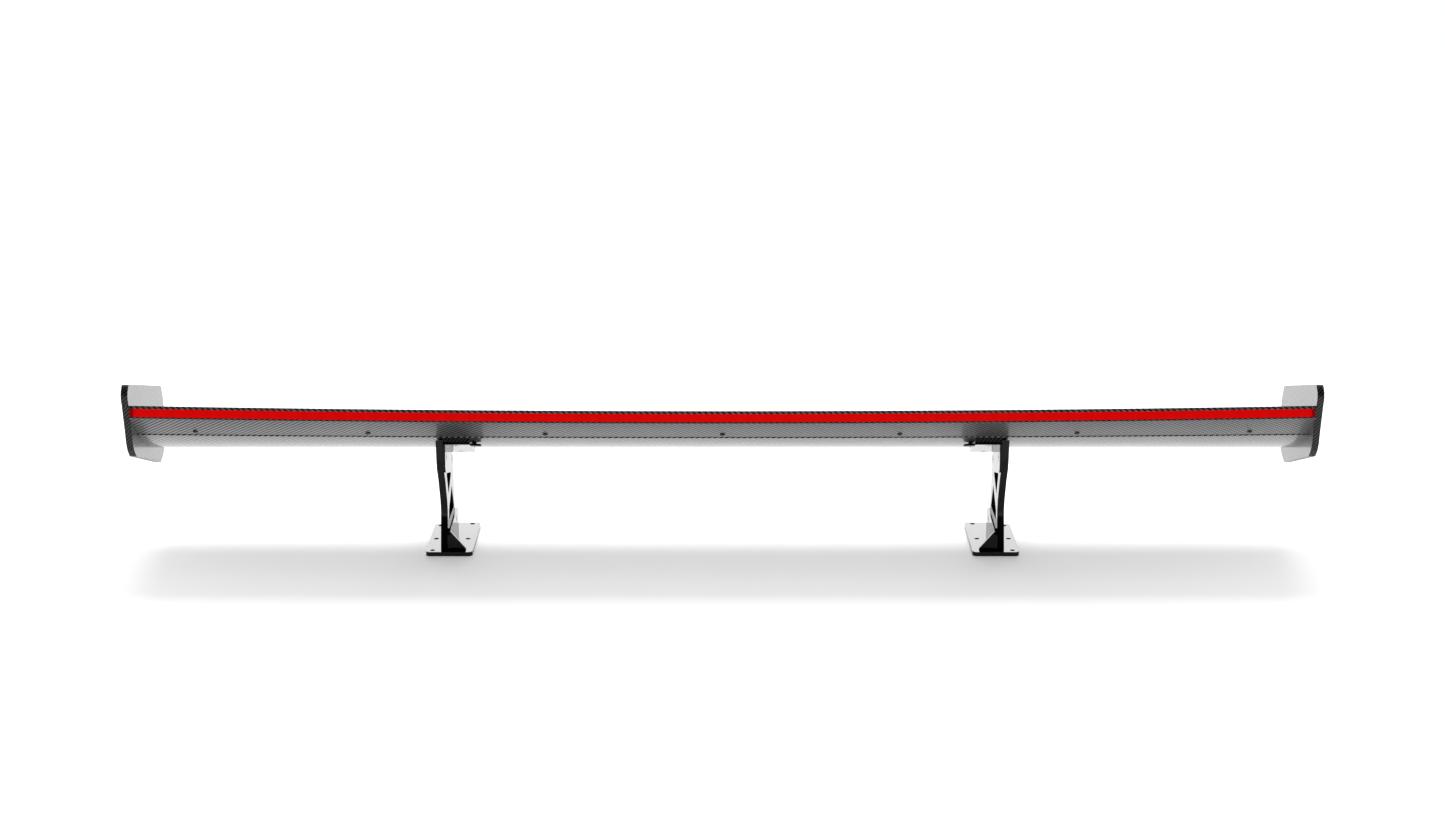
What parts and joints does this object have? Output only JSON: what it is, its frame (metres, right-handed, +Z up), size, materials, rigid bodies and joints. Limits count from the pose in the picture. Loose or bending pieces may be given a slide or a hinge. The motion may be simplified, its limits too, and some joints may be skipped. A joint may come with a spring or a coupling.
{
  "type": "racing rear wing",
  "caption": "Wide racing rear wing: twisted carbon blade with a trailing-edge light strip, thick end plates and truss uprights on bolted feet.",
  "frame": {"origin": "middle of the wing's length and depth, on the plane of the feet's undersides", "axes": "+X to the right seen from behind, along the blade; +Y forward, the car's direction of travel; +Z up from the feet"},
  "size_m": [1.54, 0.2107, 0.2481],
  "materials": {
    "carbon_skin": "2x2 twill carbon under gloss clear coat",
    "carbon_plate": "2x2 twill carbon plate, gloss faces and cut edges",
    "carbon_raw": "satin carbon laminate",
    "core_foam": "closed-cell foam",
    "lens_red": "glossy red translucent lens",
    "lens_dark_red": "glossy dark red",
    "housing_black": "moulded black",
    "board_green": "solder mask",
    "led_white": "LED package",
    "metal_black": "gloss black powder coat",
    "screw_black": "black oxide",
    "steel_plated": "zinc plated",
    "inner_aluminium": "machined",
    "bush_bronze": "sintered bronze",
    "rubber_black": "matt rubber"
  },
  "bodies": {
    "mount": {"upright_left": "metal_black", "upright_right": "metal_black", "foot_left": "metal_black", "foot_right": "metal_black", "foot_pad_left": "rubber_black", "foot_pad_right": "rubber_black", "pivot_bushes": "bush_bronze", "foot_bolts": "screw_black"},
    "wing": {"upper_skin": "carbon_skin", "lower_skin": "carbon_skin", "rear_panel": "carbon_skin", "panel_land": "carbon_raw", "panel_screws": "screw_black", "panel_inserts": "inner_aluminium", "nose_core": "core_foam", "spar": "carbon_raw", "rear_core": "core_foam", "end_rib_left": "carbon_raw", "end_rib_right": "carbon_raw", "hardpoint_left": "inner_aluminium", "hardpoint_right": "inner_aluminium", "light_lens": "lens_red", "lens_end_caps": "lens_dark_red", "light_housing": "housing_black", "light_board": "board_green", "light_leds": "led_white", "cable_grommet": "rubber_black", "end_plate_left": "carbon_plate", "end_plate_right": "carbon_plate", "end_plate_screws": "screw_black", "saddle_pad_left": "carbon_plate", "saddle_pad_right": "carbon_plate", "wing_bracket_left": "metal_black", "wing_bracket_right": "metal_black", "bracket_bolts": "screw_black", "pivot_bolts": "screw_black", "lock_bolts": "screw_black", "bracket_washers": "steel_plated", "bracket_nuts": "steel_plated"}
  },
  "joints": [
    {"name": "wing_pitch", "type": "hinge", "parent": "mount", "child": "wing", "pos_m": [0, 0.01907, 0.11666], "axis": [-1, 0, 0], "range_deg": [0, 8]}
  ]
}
